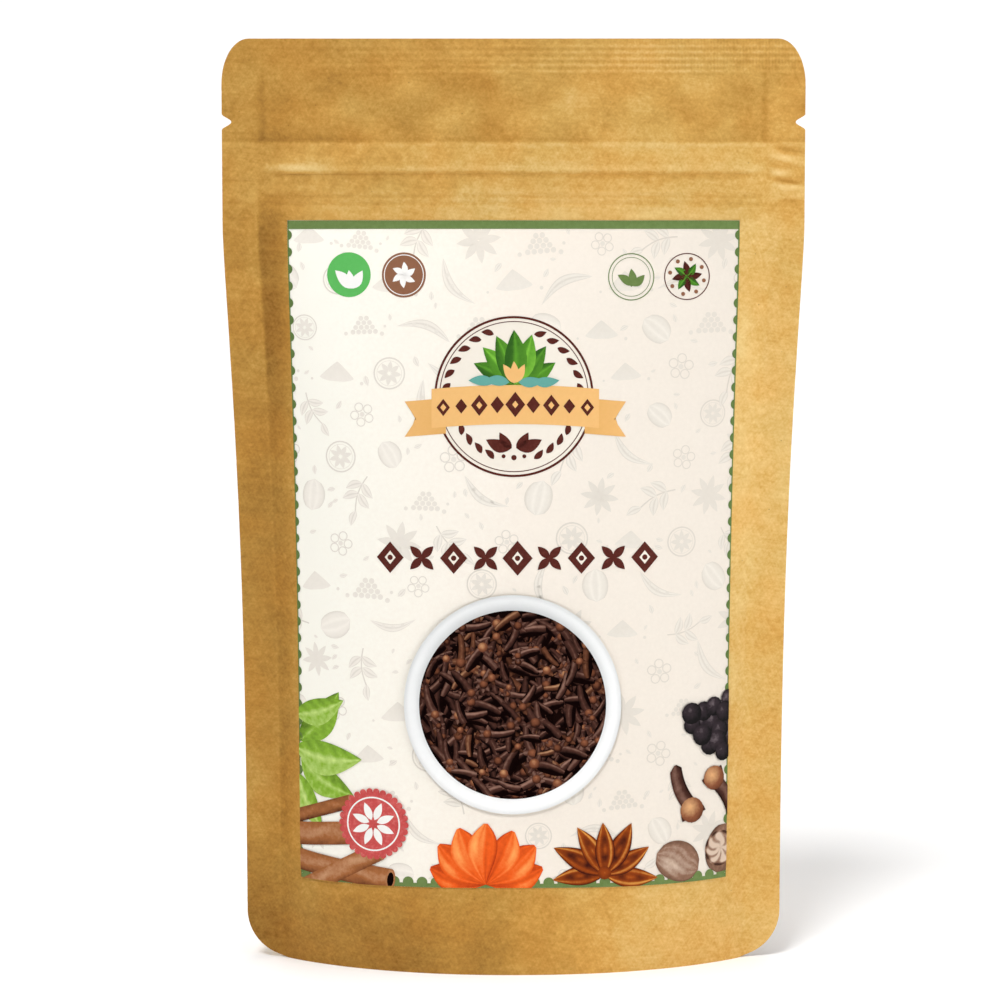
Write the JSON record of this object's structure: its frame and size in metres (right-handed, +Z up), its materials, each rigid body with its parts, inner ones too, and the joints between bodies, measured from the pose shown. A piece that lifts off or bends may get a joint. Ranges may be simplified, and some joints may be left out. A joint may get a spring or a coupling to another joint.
{
  "type": "stand-up pouch",
  "caption": "Sealed, full stand-up pouch of brown kraft paper laminate for dry whole spices, with heat-sealed sides and header, a zip ridge, tear notches, a gusset base and a front label.",
  "frame": {"origin": "on the floor, under the middle of the pouch", "axes": "+X to the right as seen by someone facing the label, -Y out of the front with the label, +Z up"},
  "size_m": [0.13, 0.0368, 0.2085],
  "materials": {
    "kraft_paper": "matte brown kraft paper laminate with fine fibre flecks",
    "label_paper": "cream label paper with a satin print"
  },
  "bodies": {
    "root": {"pouch": "kraft_paper", "label": "label_paper"}
  },
  "joints": []
}
